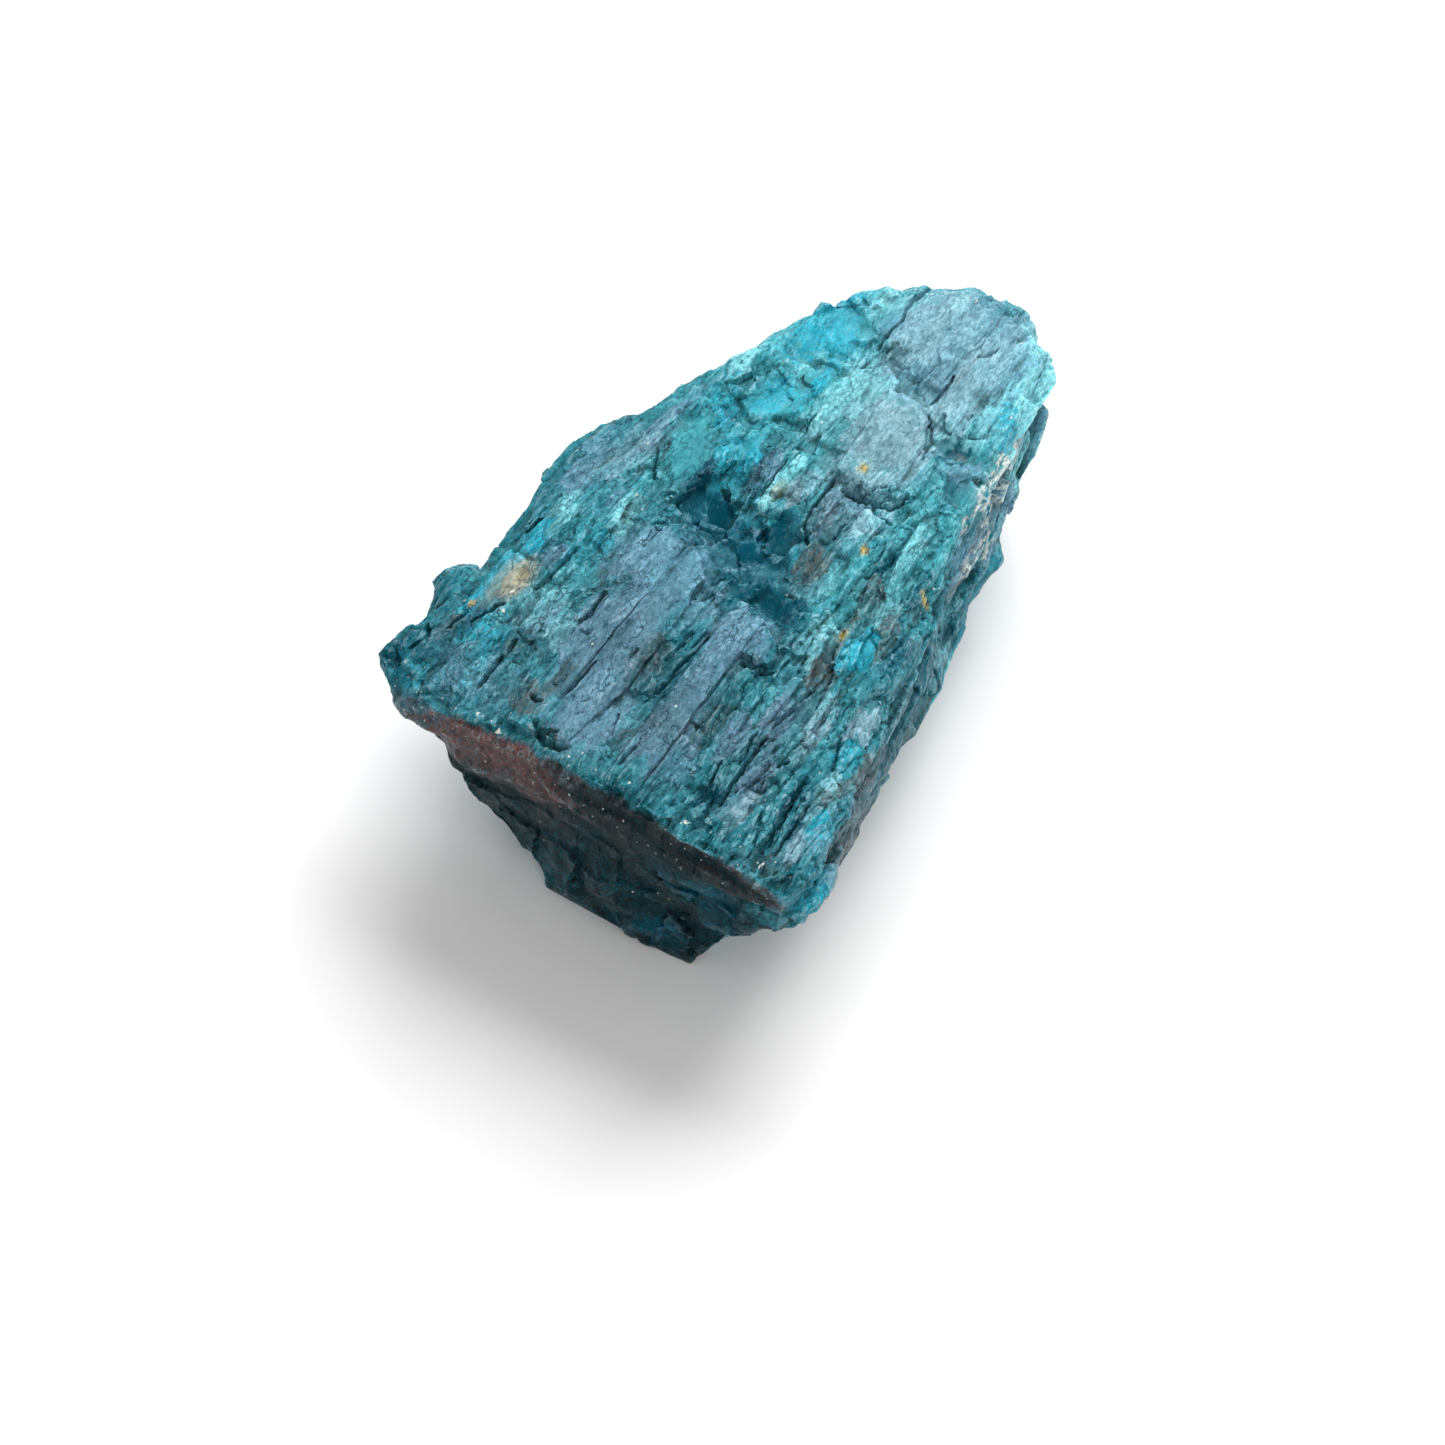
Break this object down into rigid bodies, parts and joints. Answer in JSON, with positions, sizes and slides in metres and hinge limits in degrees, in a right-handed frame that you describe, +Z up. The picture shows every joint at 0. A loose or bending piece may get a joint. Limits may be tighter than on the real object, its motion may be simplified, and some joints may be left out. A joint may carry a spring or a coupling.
{
  "type": "rough apatite",
  "caption": "Rough chunk of blue-green apatite, a tapering columnar piece with a striated, step-broken upper face and a flat face it lies on.",
  "frame": {"origin": "on the surface the stone lies on, below the middle of its bounding box", "axes": "+Z up out of the resting face, +Y along the striations from the wide broken end to the blunt tip, +X across the stone to the steep ribbed flank"},
  "size_m": [0.0314, 0.0456, 0.0139],
  "materials": {
    "apatite": "satin to glassy broken crystal, teal to grey-blue, with a purple-brown band on the wide end and a tan inclusion"
  },
  "bodies": {
    "root": {"apatite": "apatite"}
  },
  "joints": []
}
